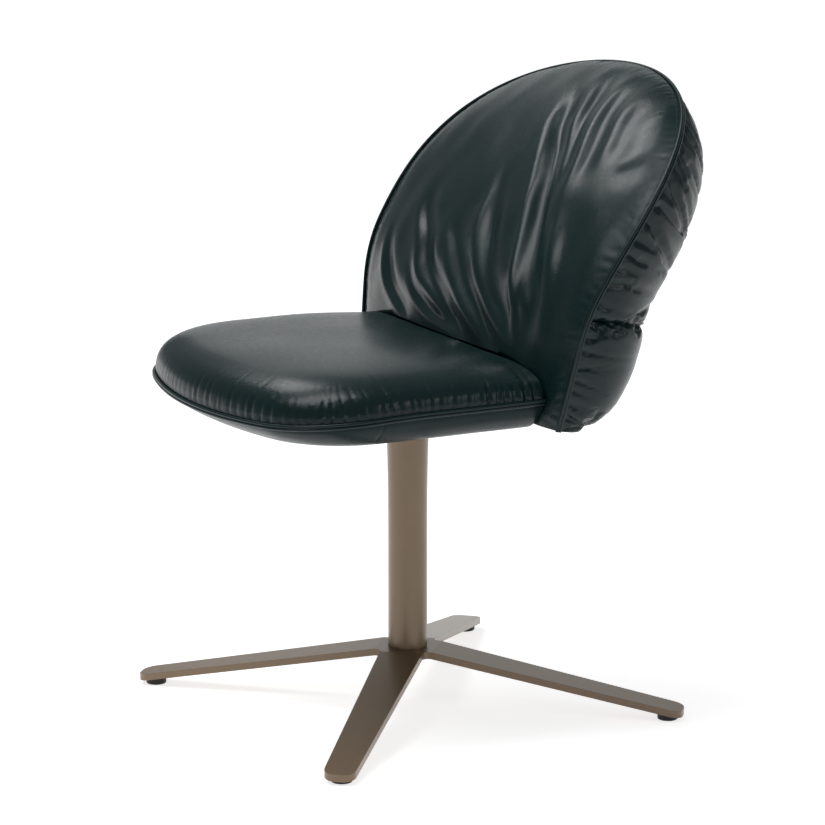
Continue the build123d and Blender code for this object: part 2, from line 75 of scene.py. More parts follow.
def dress(names, material):
    """Give CAD nodes a material."""
    for name in names:
        nodes[name].data.materials.clear()
        nodes[name].data.materials.append(material)


def surface(tree, shader, colours, dark, light, relief=None, strength=0.0, deep_mm=0.0):
    """Let one pattern run a shader's colour from dark to light, and one raise its surface."""
    share = colours.outputs["Fac"]
    tint = add_node(tree, "ShaderNodeMix", {0: share, 6: linear(dark), 7: linear(light)}, data_type="RGBA")
    tree.links.new(tint.outputs[2], shader.inputs["Base Color"])
    if strength:
        raised = {"Height": relief.outputs["Fac"], "Strength": strength, "Distance": deep_mm / 1000}
        bump = add_node(tree, "ShaderNodeBump", raised)
        tree.links.new(bump.outputs["Normal"], shader.inputs["Normal"])


# The speckle is drawn coarser than the real one, so that it shows.
speckle_mm = 1.2
nylon, tree, shader, place = start_material("moulded black nylon", Roughness=0.55)
speckle = add_node(tree, "ShaderNodeTexNoise", {"Vector": place, "Scale": 1000 / speckle_mm, "Detail": 3.0})
surface(tree, shader, speckle, "#0a0a0b", "#1c1c1d", speckle, strength=0.3, deep_mm=0.2)
dress(["glide_1", "glide_2", "glide_3", "glide_4"], nylon)

# Star base: four flat steel arms, folded down from a flat hub and welded there, then ground and
# lacquered a satin bronze. The long edges are rounded, so each shows a thin line of light.
base_edge_mm = 1.6
base_edge_steps = 3
base_edge_deg = 40
base_sharp_deg = 30
base_merge_m = 1e-6
base_flat_deg = 0.5


def placed(name, data):
    """New object in the scene from a mesh, a lamp or a camera."""
    made = bpy.data.objects.new(name, data)
    bpy.context.scene.collection.objects.link(made)
    return made


def merged_copy(node, name):
    """New object from a CAD node's mesh, with its loose triangles merged and its flat faces joined."""
    mesh = nodes[node].data.copy()
    mesh.name = name
    work = bmesh.new()
    work.from_mesh(mesh)
    bmesh.ops.remove_doubles(work, verts=work.verts, dist=base_merge_m)
    flat = math.radians(base_flat_deg)
    bmesh.ops.dissolve_limit(work, angle_limit=flat, verts=work.verts, edges=work.edges)
    work.to_mesh(mesh)
    work.free()
    return placed(name, mesh)


bronze, tree, shader, place = start_material(
    "satin bronze lacquer", Metallic=0.3, Coat_Weight=0.6, Coat_Roughness=0.28
)
# The lacquer's flakes are drawn coarser than real ones, so that they show.
flake_mm = 0.9
cloud_mm = 45.0
flake = add_node(tree, "ShaderNodeTexNoise", {"Vector": place, "Scale": 1000 / flake_mm, "Detail": 2.0})
cloud = add_node(tree, "ShaderNodeTexNoise", {"Vector": place, "Scale": 1000 / cloud_mm, "Detail": 3.0})
surface(tree, shader, cloud, "#7f684e", "#8b7356", flake, strength=0.08, deep_mm=0.2)
sheen = add_node(
    tree,
    "ShaderNodeMapRange",
    {"Value": flake.outputs["Fac"], "From Min": 0.3, "From Max": 0.7, "To Min": 0.36, "To Max": 0.46},
)
tree.links.new(sheen.outputs["Result"], shader.inputs["Roughness"])

base = merged_copy("star_base", "rounded_star_base")
base.data.materials.clear()
base.data.materials.append(bronze)
round_edge = base.modifiers.new("round edge", "BEVEL")
round_edge.width = base_edge_mm / 1000
round_edge.segments = base_edge_steps
round_edge.limit_method = "ANGLE"
round_edge.angle_limit = math.radians(base_edge_deg)
base.data.shade_smooth()
base.data.set_sharp_from_angle(angle=math.radians(base_sharp_deg))
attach(base, "base")
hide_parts("star_base")

# Column: a drawn steel tube, spun a little wider under the seat. It stands on the hub, pulled down
# by one bolt from below, and is lacquered together with the base.
dress(["column_tube"], bronze)

# Fixings and swivel: turned and pressed steel with a bright zinc plating, which looks grey and
# cloudy close up. They are inside the column and under the seat.
zinc, tree, shader, place = start_material("zinc plated steel", Metallic=1.0)
zinc_cloud_mm = 6.0
cloud = add_node(tree, "ShaderNodeTexNoise", {"Vector": place, "Scale": 1000 / zinc_cloud_mm, "Detail": 4.0})
surface(tree, shader, cloud, "#8c9093", "#b4b6b4")
sheen = add_node(
    tree, "ShaderNodeMapRange", {"Value": cloud.outputs["Fac"], "To Min": 0.22, "To Max": 0.42}
)
tree.links.new(sheen.outputs["Result"], shader.inputs["Roughness"])
dress(
    [
        "column_foot", "base_bolt", "base_washer", "thrust_washer", "spindle", "retaining_ring",
        "plate_screws", "bracket_seat_screws", "seat_tee_nuts", "back_screws", "back_tee_nuts",
    ],
    zinc,
)

# Bushes: two sleeves pressed into the column, in which the spindle turns. They are turned from
# natural nylon bar, so they are creamy, with rings from the tool, drawn coarse enough to show.
turning_mm = 3.77
wave_turns_per_unit = 20 / (2 * math.pi)
natural_nylon, tree, shader, place = start_material("turned natural nylon", Roughness=0.45)
tool_marks = add_node(
    tree,
    "ShaderNodeTexWave",
    {"Vector": place, "Scale": 1000 / turning_mm / wave_turns_per_unit},
    bands_direction="Z",
)
surface(tree, shader, tool_marks, "#d8d4c6", "#e6e2d6", tool_marks, strength=0.2, deep_mm=0.1)
dress(["lower_bush", "upper_bush"], natural_nylon)

# Swivel plate and back brackets: cut and bent steel plate with a black powder coat, which sets
# with a fine orange peel.
peel_mm = 2.0
powder, tree, shader, place = start_material("black powder coat", Roughness=0.5)
peel = add_node(tree, "ShaderNodeTexNoise", {"Vector": place, "Scale": 1000 / peel_mm, "Detail": 1.0})
surface(tree, shader, peel, "#151515", "#202020", peel, strength=0.25, deep_mm=0.3)
dress(["seat_plate", "back_bracket_left", "back_bracket_right"], powder)

# Seat board and back shell: birch plywood, pressed from thin veneers with the grain running across
# the chair, and sanded.
veneer_grain_mm = 3.0
plywood, tree, shader, place = start_material("sanded birch plywood", Roughness=0.6)
lengthways = add_node(tree, "ShaderNodeMapping", {"Vector": place, "Scale": (0.08, 1.0, 1.0)})
grain_lines = add_node(
    tree,
    "ShaderNodeTexNoise",
    {"Vector": lengthways.outputs["Vector"], "Scale": 1000 / veneer_grain_mm, "Detail": 5.0},
)
surface(tree, shader, grain_lines, "#b98f5e", "#d9b886", grain_lines, strength=0.2, deep_mm=0.3)
dress(["seat_board", "back_shell"], plywood)

# Under cover: black spun-bonded cloth stapled under the seat. It is a felt of short pressed fibres
# with a dull sheen.
# The fibres are drawn coarser than real ones, so that they show.
fibre_mm = 1.5
lining, tree, shader, place = start_material("spun-bonded lining cloth", Roughness=0.85)
fibres = add_node(
    tree, "ShaderNodeTexNoise", {"Vector": place, "Scale": 1000 / fibre_mm, "Detail": 6.0, "Distortion": 2.0}
)
surface(tree, shader, fibres, "#0d0d0e", "#242425", fibres, strength=0.4, deep_mm=0.3)
dress(["under_cover"], lining)

# Seat cushion: foam on the board under one piece of leather, crowned and drawn down all round to
# the welt, where the leather is eased in and puckers. At the front the welt dips.
seat_half_w = 246.0
seat_front = 300.0
seat_front_r = 560.0
seat_corner_r = 118.0
seat_rear_y = 60.0
seat_welt_z = 434.0
seat_crown = 51.0
seat_dip = 14.0
seat_dip_from_y = -90.0
cushion_rise = np.array([0, 0.2, 0.41, 0.6, 0.75, 0.86, 0.93, 0.97, 1])
cushion_inset = np.array([1.0, 1.5, 5, 14, 29, 50, 76, 106, 180])
rear_draw = 0.15
seat_fall = 7.0
seat_fall_from_y = -90.0
seat_fall_reach = 130.0
corner_ease = 0.35
cushion_rings = 64
side_points = 170
side_steps = 60
arc_steps = 40
pucker_side_x = 30.0
pucker_side_blend = 30.0
far_pucker_share = 0.3
smooth_corner_y = -168.0
smooth_corner_half = 16.0
smooth_corner_share = 0.7
seat_unevenness = 1.0
unevenness_from = 60.0
welt_hold = 6.0
dip_past_front = 1.2
piece_merge_m = 2e-6
ridge_share = 1.6
gather_width = (0.75, 1.25)
gather_reach = (0.5, 1.25)
gather_depth = (0.4, 1.1)
gather_step = (0.7, 1.35)
gather_fade = 1.6
gather_span = 6
wave_stretch = (0.6, 1.7)
wave_phase = (0, 6.28)


def eased(at, knots, values):
    """Smooth curve through knots that doesn't overshoot between them."""
    knots = np.asarray(knots, float)
    values = np.asarray(values, float)
    slope = np.diff(values) / np.diff(knots)
    same_way = slope[:-1] * slope[1:] > 0
    total = np.where(same_way, slope[:-1] + slope[1:], 1)
    inner = np.where(same_way, 2 * slope[:-1] * slope[1:] / total, 0)
    tangent = np.concatenate([slope[:1], inner, slope[-1:]])
    at = np.clip(at, knots[0], knots[-1])
    i = np.clip(np.searchsorted(knots, at) - 1, 0, len(slope) - 1)
    step = knots[i + 1] - knots[i]
    t = (at - knots[i]) / step
    low = (1 + 2 * t) * values[i] + t * step * tangent[i]
    high = (3 - 2 * t) * values[i + 1] + (t - 1) * step * tangent[i + 1]
    return (1 - t) ** 2 * low + t**2 * high


def lengths_along(line):
    """Running length of a line of points."""
    return np.concatenate([[0], np.cumsum(np.linalg.norm(np.diff(line, axis=0), axis=1))])


def spread(points, count):
    """Points spaced evenly along a line, leaving out its end."""
    points = np.asarray(points, float)
    along = lengths_along(points)
    at = np.linspace(0, along[-1], count + 1)[:-1]
    return np.stack([np.interp(at, along, points[:, k]) for k in range(points.shape[1])], axis=1)


def arc(middle, r, start, sweep, first=0):
    """Points of a circular arc, from its first step on."""
    turns = [start + sweep * k / arc_steps for k in range(first, arc_steps + 1)]
    return [(middle[0] + r * math.cos(t), middle[1] + r * math.sin(t)) for t in turns]


def seat_outline(inset, rear_y):
    """Seat outline drawn in: right side and half its corner, front, left side, rear, as four runs."""
    corner_r = seat_corner_r - corner_ease * inset
    corner_x = seat_half_w - inset - corner_r
    front_r = seat_front_r - inset
    front_cy = seat_front_r - seat_front
    corner_y = front_cy - math.sqrt((front_r - corner_r) ** 2 - corner_x**2)
    turn = math.atan2(corner_y - front_cy, corner_x)
    side = [(seat_half_w - inset, rear_y + (corner_y - rear_y) * k / side_steps) for k in range(side_steps)]
    corner = arc((corner_x, corner_y), corner_r, 0.0, turn)
    front = arc((0.0, front_cy), front_r, turn, -math.pi / 2 - turn, first=1)
    half = len(corner) // 2
    runs = [np.array(side + corner[: half + 1]), np.array(corner[half:] + front)]
    front_run = np.concatenate([runs[1], (runs[1] * (-1, 1))[-2::-1]])
    left_run = (runs[0] * (-1, 1))[::-1]
    rear_run = np.array([left_run[-1], runs[0][0]])
    return [spread(run, side_points) for run in (runs[0], front_run, left_run, rear_run)]


def coons(ring):
    """Grid that fills a ring of four runs of equal count, its edge being the ring."""
    count = len(ring) // 4
    looped = np.vstack([ring, ring[:1]])
    right, front, left, rear = (looped[k * count : (k + 1) * count + 1] for k in range(4))
    left, rear = left[::-1], rear[::-1]
    u = np.linspace(0, 1, count + 1)[:, None, None]
    v = np.linspace(0, 1, count + 1)[None, :, None]
    across = (1 - v) * right[:, None] + v * left[:, None]
    along = (1 - u) * rear[None] + u * front[None]
    corners = (1 - u) * ((1 - v) * rear[0] + v * rear[-1]) + u * ((1 - v) * front[0] + v * front[-1])
    return across + along - corners


def grid_faces(index, wrap_rows=False, wrap_columns=False):
    """Quads over a grid of point numbers."""
    if wrap_rows:
        index = np.vstack([index, index[:1]])
    if wrap_columns:
        index = np.hstack([index, index[:, :1]])
    quads = np.stack([index[:-1, :-1], index[1:, :-1], index[1:, 1:], index[:-1, 1:]], axis=-1)
    return quads.reshape(-1, 4).tolist()


def closed_mesh(name, points, faces, merge_m=0.0):
    """Mesh from points in millimetres, with points this close merged and its faces outwards."""
    mesh = bpy.data.meshes.new(name)
    mesh.from_pydata((np.asarray(points) / 1000).tolist(), [], faces)
    work = bmesh.new()
    work.from_mesh(mesh)
    if merge_m:
        bmesh.ops.remove_doubles(work, verts=work.verts, dist=merge_m)
    bmesh.ops.recalc_face_normals(work, faces=work.faces)
    work.to_mesh(mesh)
    work.free()
    return mesh


def make_piece(name, points, faces, material, sharp_deg=50):
    """Closed mesh object from points in millimetres, smooth but for its sharp edges."""
    mesh = closed_mesh(name, points, faces, piece_merge_m)
    mesh.materials.append(material)
    mesh.shade_smooth()
    mesh.set_sharp_from_angle(angle=math.radians(sharp_deg))
    return placed(name, mesh)


def hollow(share):
    """Section of a soft fold: a valley of depth 1 between two low ridges, at shares of its width."""
    return -np.exp(-(share**2)) * (1 - ridge_share * share**2)


def puckers(along, off, spacing, depth, reach, seed, slant=0.35, width_share=0.4):
    """Height of a row of gathers at a seam. along runs with the seam, off is the distance from it."""
    draw = np.random.default_rng(seed)
    height = np.zeros_like(along)
    at = along.min() - spacing
    while at < along.max() + spacing:
        width = spacing * width_share * draw.uniform(*gather_width)
        long = reach * draw.uniform(*gather_reach)
        lean = slant * draw.uniform(-1, 1)
        sunk = depth * draw.uniform(*gather_depth)
        near = np.abs(along - at) < gather_span * spacing
        shift = along[near] - at - lean * off[near]
        height[near] += sunk * np.exp(-((off[near] / long) ** gather_fade)) * hollow(shift / width)
        at += spacing * draw.uniform(*gather_step)
    return height


def waves(points, length, seed, count=14):
    """Soft unevenness over points, of about a given wavelength, from -1 to 1."""
    draw = np.random.default_rng(seed)
    total = np.zeros(len(points))
    for _ in range(count):
        way = draw.normal(size=3)
        way /= np.linalg.norm(way)
        stretch = length * draw.uniform(*wave_stretch)
        total += np.sin(points @ way * 2 * math.pi / stretch + draw.uniform(*wave_phase))
    return total / math.sqrt(2 * count)


def nearest(points, line, along):
    """Distance from each point to a line of points, and how far along that line its nearest point is."""
    tree = KDTree(len(line))
    for k, p in enumerate(line):
        tree.insert(p, k)
    tree.balance()
    found = [tree.find(p) for p in points]
    return np.array([f[2] for f in found]), along[np.array([f[1] for f in found])]


def welt_height(points):
    """Height of the seat's welt line at places on the seat."""
    ahead = np.clip((seat_dip_from_y - points[:, 1]) / (seat_dip_from_y + seat_front), 0, dip_past_front)
    return seat_welt_z - seat_dip * ahead**2


# The leather is dyed through under a thin clear finish, so a soft shine lies over fine pores and
# creases and a slightly uneven colour. The pores are drawn coarser than real ones, so that they show.
leather, tree, shader, place = start_material(
    "aniline finished leather", IOR=1.33, Coat_Weight=0.1, Coat_Roughness=0.22, Coat_IOR=1.4
)
pore_mm = 1.3
crease_mm = 5.0
mottle_mm = 60.0
pores = add_node(
    tree, "ShaderNodeTexVoronoi", {"Vector": place, "Scale": 1000 / pore_mm}, feature="DISTANCE_TO_EDGE"
)
creases = add_node(tree, "ShaderNodeTexNoise", {"Vector": place, "Scale": 1000 / crease_mm, "Detail": 6.0})
mottle = add_node(tree, "ShaderNodeTexNoise", {"Vector": place, "Scale": 1000 / mottle_mm, "Detail": 4.0})
surface(tree, shader, mottle, "#081d1f", "#0d2829")
sheen = add_node(
    tree,
    "ShaderNodeMapRange",
    {"Value": creases.outputs["Fac"], "From Min": 0.3, "From Max": 0.7, "To Min": 0.27, "To Max": 0.35},
)
tree.links.new(sheen.outputs["Result"], shader.inputs["Roughness"])
fine = add_node(
    tree, "ShaderNodeBump", {"Height": pores.outputs["Distance"], "Strength": 0.12, "Distance": 0.0006}
)
grain = add_node(
    tree,
    "ShaderNodeBump",
    {
        "Height": creases.outputs["Fac"],
        "Normal": fine.outputs["Normal"],
        "Strength": 0.1,
        "Distance": 0.0008,
    },
)
tree.links.new(grain.outputs["Normal"], shader.inputs["Normal"])


def seat_height(flat, inset):
    """Height of the cushion at places on the seat that lie a distance in from its outline."""
    foot = welt_height(flat)
    rear_slope = seat_fall * np.clip((flat[:, 1] - seat_fall_from_y) / seat_fall_reach, 0, 1) ** 2
    knots = np.linspace(0, 1, len(cushion_rise))
    rise = eased(eased(inset, cushion_inset, knots), knots, cushion_rise)
    return foot + rise * (seat_welt_z + seat_crown - rear_slope - foot)


rings = []
for share in np.linspace(0, 1, cushion_rings):
    inset = eased(share, np.linspace(0, 1, len(cushion_inset) - 1), cushion_inset[:-1])
    flat = np.concatenate(seat_outline(inset, seat_rear_y - rear_draw * inset))
    rings.append(np.column_stack([flat, seat_height(flat, np.full(len(flat), inset))]))
rings = np.array(rings)
normal = np.cross(np.roll(rings, -1, axis=1) - np.roll(rings, 1, axis=1), np.gradient(rings, axis=0))
normal /= np.linalg.norm(normal, axis=2)[..., None]
ring_count = 4 * side_points
cap = coons(rings[-1])[1:-1, 1:-1].reshape(-1, 3)
from_ring, _ = nearest(cap * (1, 1, 0), rings[-1] * (1, 1, 0), np.zeros(ring_count))
cap[:, 2] = seat_height(cap, cushion_inset[-2] + from_ring)
points = np.vstack([rings.reshape(-1, 3), cap])
away = np.vstack([-normal.reshape(-1, 3), np.tile((0.0, 0.0, 1.0), ((side_points - 1) ** 2, 1))])
index = np.arange(cushion_rings * ring_count).reshape(cushion_rings, ring_count)
cap_index = np.zeros((side_points + 1, side_points + 1), int)
inner = np.arange((side_points - 1) ** 2).reshape(side_points - 1, -1)
cap_index[1:-1, 1:-1] = cushion_rings * ring_count + inner
edge = index[-1]
cap_index[:-1, 0] = edge[:side_points]
cap_index[-1, :-1] = edge[side_points : 2 * side_points]
cap_index[1:, -1] = edge[2 * side_points : 3 * side_points][::-1]
cap_index[0, 1:] = edge[3 * side_points :][::-1]
faces = grid_faces(index, wrap_columns=True) + grid_faces(cap_index)

seat_line = rings[0, : 3 * side_points]
off, along = nearest(points, seat_line, lengths_along(seat_line))
near_side = 1 / (1 + np.exp(-(points[:, 0] - pucker_side_x) / pucker_side_blend))
smooth = smooth_corner_share * np.exp(-(((points[:, 1] - smooth_corner_y) / smooth_corner_half) ** 2))
lift = puckers(along, off, spacing=14.0, depth=2.0, reach=30.0, seed=11, slant=0.12, width_share=0.3)
lift *= (far_pucker_share + (1 - far_pucker_share) * near_side) * (1 - smooth * near_side)
lift += seat_unevenness * waves(points, length=150.0, seed=12) * np.clip(off / unevenness_from, 0, 1)
seat_top = points + away * (lift * np.clip(off / welt_hold, 0, 1))[:, None]
faces.append(index[0][::-1].tolist())
cushion = make_piece("seat_cushion_leather", seat_top, faces, leather)
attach(cushion, "seat")
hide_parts("seat_cushion")

# Seat band: a strip of the same leather round the edge of the seat under the welt, drawn in and
# stapled under the board. It has an upright seam on each side, and its leather has no clear
# finish, so it looks duller than the cushion's.
seat_bottom_z = 395.0
band_tuck = 42.0
band_lip = 7.0
lip_below_welt = 1.0
band_seam_y = -155.0
band_drop = (0, 0.2, 0.45, 0.75, 0.93, 1)
band_in = (0.03, 0.08, 0.24, 0.55, 0.82, 1)
band_rows = 30
seam_depth = 1.1
seam_half_w = 1.6
seam_from_x = 120.0
band_unevenness = 0.5


def band_line(inset):
    """Seat outline drawn in, from one rear corner round the front to the other."""
    end = np.array([[-(seat_half_w - inset), seat_rear_y]])
    return np.concatenate(seat_outline(inset, seat_rear_y)[:3] + [end])


path_runs = []
for share in np.linspace(0, 1, band_rows):
    flat = band_line(eased(share, band_drop, band_in) * band_tuck)
    top = welt_height(flat)
    path_runs.append(np.column_stack([flat, top - share * (top - seat_bottom_z)]))
lip = band_line(band_tuck + band_lip)
path_runs.append(np.column_stack([lip, np.full(len(lip), seat_bottom_z)]))
path_runs.append(np.column_stack([lip, welt_height(lip) - lip_below_welt]))
band = np.array(path_runs)
seam = np.abs(band[:, :, 1] - band_seam_y)
groove = seam_depth * np.exp(-((seam / seam_half_w) ** 2)) * (np.abs(band[:, :, 0]) > seam_from_x)
groove[-2:] = 0
uneven = band_unevenness * waves(band[:-2].reshape(-1, 3), length=60.0, seed=21)
groove[:-2] += uneven.reshape(band_rows, -1)
band[:, :, 0] -= np.sign(band[:, :, 0]) * groove
index = np.arange(band.shape[0] * band.shape[1]).reshape(band.shape[:2])
faces = grid_faces(index, wrap_rows=True)
faces += [index[:, 0].tolist(), index[::-1, -1].tolist()]
band_leather = leather.copy()
band_leather.name = "unglazed leather"
band_shader = band_leather.node_tree.nodes["Principled BSDF"]
band_shader.inputs["IOR"].default_value = 1.22
band_shader.inputs["Coat Weight"].default_value = 0.0
piece = make_piece("seat_band_leather", band.reshape(-1, 3), faces, band_leather, 40)
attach(piece, "seat")
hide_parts("seat_band")

# Seat welt: a strip of the same leather folded over two thin cords, which gives it its double line.
# It is sewn in between the cushion and the band and stands out as a lip.
cord_r = 2.1
cord_apart = 1.8
seat_welt_out = 2.0


def lobed_section(count=32):
    """Section of a welt with two cords side by side, as offsets outwards and along the seam's height."""
    turn = np.linspace(0, 2 * math.pi, count, endpoint=False)
    reach = cord_apart * np.abs(np.sin(turn)) + np.sqrt(cord_r**2 - (cord_apart * np.cos(turn)) ** 2)
    return np.stack([reach * np.cos(turn), reach * np.sin(turn)], axis=1)


def tube_faces(index):
    """Quads round a tube of point numbers, with a flat face at each end."""
    return grid_faces(index, wrap_columns=True) + [index[0].tolist(), index[-1][::-1].tolist()]


def swept(path, outwards, upwards):
    """Closed tube of the welt's section along a path, with flat ends, as points and faces."""
    section = lobed_section()
    rows = path[:, None] + section[None, :, :1] * outwards[:, None] + section[None, :, 1:] * upwards[:, None]
    index = np.arange(rows.shape[0] * rows.shape[1]).reshape(rows.shape[:2])
    return rows.reshape(-1, 3), tube_faces(index)


def directions(line):
    """Unit direction of a line at each of its points."""
    tangent = np.gradient(line, axis=0)
    return tangent / np.linalg.norm(tangent, axis=1)[:, None]


def square_to(path, one, other):
    """Unit vectors square to two others at each point of a path, pointing away from its middle."""
    square = np.cross(one, other)
    square /= np.linalg.norm(square, axis=1)[:, None]
    return square * np.sign(np.sum(square[:, 0] * path[:, 0]))


path = np.vstack([seat_line, [[-seat_half_w, seat_rear_y, seat_welt_z]]])
upwards = np.tile((0.0, 0.0, 1.0), (len(path), 1))
outwards = square_to(path, upwards, directions(path))
points, faces = swept(path + outwards * seat_welt_out, outwards, upwards)
piece = make_piece("seat_welt_leather", points, faces, leather)
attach(piece, "seat")
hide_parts("seat_welt")

# Back, front panel: one piece of soft leather over deep wadding, cut wider than the back and
# gathered into its welt, so that long folds hang down it and fan out at the bottom.
bend_y = 90.0
bend_z = 537.0
lower_lean = math.radians(9)
waist_lean = math.radians(14)
bend_reach = 42.0
upper_lean = math.radians(26)
upper_r = 647.0
lower_len = 138.0
upper_len = 358.0
top_power = 2.2
back_half_w = 298.0
back_bottom_half_w = 265.0
widest_len = 103.0
taper_power = 1.8
front_crown = 32.0
back_depth = 130.0
lower_runs = np.array([-1, -0.94, -0.84, -0.64, -0.4, -0.16]) * lower_len
upper_runs = np.array([0.11, 0.24, 0.4, 0.55, 0.7, 0.82, 0.91, 0.96, 0.993, 1]) * upper_len
station_runs = np.concatenate([lower_runs, [0], upper_runs])
station_crown = front_crown * np.array(
    [0.6, 0.75, 0.88, 1, 1.08, 1.12, 1.12, 1.1, 1.05, 1, 0.95, 0.87, 0.75, 0.58, 0.4, 0.18, 0.05]
)
crown_across = (0, 0.3, 0.62, 0.86, 1)
crown_share = (1, 0.94, 0.74, 0.42, 0)
front_columns = 260
upper_row_count = 190
lower_row_count = 56
crest_gap = 3.0
dense_count = 4000
fold_steps = 6
fold_start = 0.4
fold_end = 0.3
soft_side = 1.8
fold_fade = 14.0
panel_unevenness = 1.0
seat_clearance = 0.8
seat_shoulder = 8.0
out_of_reach = -1000.0


def sheet_at(run):
    """Y, Z and lean of the sheet that the back's welt lies on, at runs along it from the waist."""
    lean = np.where(run <= 0, lower_lean, upper_lean + run / upper_r)
    y = np.where(
        run <= 0,
        bend_y + run * math.sin(lower_lean),
        bend_y + upper_r * (math.cos(upper_lean) - np.cos(lean)),
    )
    z = np.where(
        run <= 0,
        bend_z + run * math.cos(lower_lean),
        bend_z + upper_r * (np.sin(lean) - math.sin(upper_lean)),
    )
    bent = (run > -bend_reach) & (run < bend_reach)
    t = (run + bend_reach) / (2 * bend_reach)
    high_lean = upper_lean + bend_reach / upper_r
    low_weight = 2 * bend_reach * t * (1 - t) ** 2
    high_weight = -2 * bend_reach * t**2 * (1 - t)
    low_y = bend_y - bend_reach * math.sin(lower_lean)
    low_z = bend_z - bend_reach * math.cos(lower_lean)
    high_y = bend_y + upper_r * (math.cos(upper_lean) - math.cos(high_lean))
    high_z = bend_z + upper_r * (math.sin(high_lean) - math.sin(upper_lean))
    share = t**2 * (3 - 2 * t)
    smooth_y = low_y + (high_y - low_y) * share
    smooth_y += low_weight * math.sin(lower_lean) + high_weight * math.sin(high_lean)
    smooth_z = low_z + (high_z - low_z) * share
    smooth_z += low_weight * math.cos(lower_lean) + high_weight * math.cos(high_lean)
    settle = eased(run, (-bend_reach, 0, bend_reach), (lower_lean, waist_lean, high_lean))
    return np.where(bent, smooth_y, y), np.where(bent, smooth_z, z), np.where(bent, settle, lean)


def half_width_at(run):
    """Half the width between the welts."""
    below = np.clip((widest_len - run) / (widest_len + lower_len), 0, 1)
    above = np.clip((run - widest_len) / (upper_len - widest_len), 0, 1)
    taper = (back_half_w - back_bottom_half_w) * below**taper_power
    return np.where(run < widest_len, back_half_w - taper, back_half_w * np.sqrt(1 - above**top_power))


def on_section(x, depth, run):
    """Points at a depth behind the sheet, square to it, at runs along it."""
    y, z, lean = sheet_at(run)
    return np.stack([x, y + depth * np.cos(lean), z - depth * np.sin(lean)], axis=-1)


dense_runs = upper_len * np.sin(np.linspace(0, math.pi / 2, dense_count))
dense = on_section(half_width_at(dense_runs), np.zeros(dense_count), dense_runs)
dense_along = lengths_along(dense)
even_along = np.linspace(0, dense_along[-1] - crest_gap, upper_row_count)
upper_rows = np.interp(even_along, dense_along, dense_runs)
lower_rows = np.linspace(-lower_len, 0, lower_row_count)
rows = np.concatenate([lower_rows, upper_rows[1:]])

# Each fold has a width, a depth, and the places it runs through, across the panel and along it.
fold_lines = (
    (19.0, 10.0, ((-48, 325), (4, 260), (27, 225), (63, 186), (87, 154), (113, 115), (142, 75), (168, 36),
                  (192, 0), (197, -41), (200, -90))),
    (10.0, 4.5, ((73, 187), (92, 135), (117, 93), (135, 60), (151, 28), (166, 0), (176, -27), (191, -70))),
    (17.0, 6.5, ((-12, 175), (-8, 148), (10, 111), (36, 69), (64, 37), (107, 2), (154, -26), (190, -60))),
    (15.0, 6.0, ((-62, 90), (-49, 64), (-10, 34), (40, 0), (85, -26), (112, -46), (140, -75))),
    (13.0, 5.5, ((-110, 55), (-93, 30), (-60, 0), (-21, -19), (39, -47), (80, -75))),
    (10.0, 3.5, ((-130, 15), (-112, -3), (-83, -25), (-34, -42), (32, -53), (70, -75))),
    (15.0, 5.0, ((-165, 110), (-140, 70), (-100, 35), (-75, 5), (-45, -20))),
    (12.0, 4.5, ((-222, 55), (-205, 15), (-175, -22), (-130, -45), (-80, -62))),
    (16.0, 5.5, ((10, 340), (49, 272), (73, 231), (96, 197), (125, 150), (140, 120))),
    (16.0, 4.5, ((75, 332), (94, 273), (114, 235), (132, 206), (155, 160), (166, 130))),
    (17.0, 2.4, ((132, 300), (150, 262), (165, 235), (178, 212), (190, 185))),
    (22.0, 5.0, ((155, 160), (167, 136), (197, 91), (217, 51), (234, 8), (240, -23), (240, -70))),
    (18.0, 1.6, ((252, 222), (236, 200), (205, 170))),
)


def folds(x, run, lines):
    """Height of folds on a panel, along given lines: each line is a valley, steep on one side, between
    ridges.
    """
    height = np.zeros_like(x)
    for width, depth, line in lines:
        line = np.array(line, float)
        knots = lengths_along(line)
        fine = np.linspace(0, knots[-1], fold_steps * len(line))
        line = np.stack([eased(fine, knots, line[:, 0]), eased(fine, knots, line[:, 1])], axis=1)
        best = np.full(x.shape, np.inf)
        share = np.zeros_like(x)
        right = np.zeros(x.shape, bool)
        for k in range(len(line) - 1):
            step = line[k + 1] - line[k]
            t = ((x - line[k, 0]) * step[0] + (run - line[k, 1]) * step[1]) / (step @ step)
            t = np.clip(t, 0, 1)
            gap = np.hypot(x - line[k, 0] - t * step[0], run - line[k, 1] - t * step[1])
            closer = gap < best
            best = np.where(closer, gap, best)
            share = np.where(closer, (k + t) / (len(line) - 1), share)
            side = step[0] * (run - line[k, 1]) - step[1] * (x - line[k, 0])
            right = np.where(closer, side > 0, right)
        ends = np.clip(share / fold_start, 0, 1) * np.clip((1 - share) / fold_end, 0, 1)
        ends = ends * ends * (3 - 2 * ends)
        height += depth * ends * hollow(best / np.where(right, soft_side * width, width))
    return height


def closed_grid(rows_count, columns_count):
    """Faces of a grid of points closed across its open side and at both ends, and its point numbers."""
    index = np.arange(rows_count * columns_count).reshape(rows_count, columns_count)
    faces = grid_faces(index)
    faces += np.stack([index[:-1, 0], index[:-1, -1], index[1:, -1], index[1:, 0]], axis=1).tolist()
    return faces + [index[0].tolist(), index[-1][::-1].tolist()], index


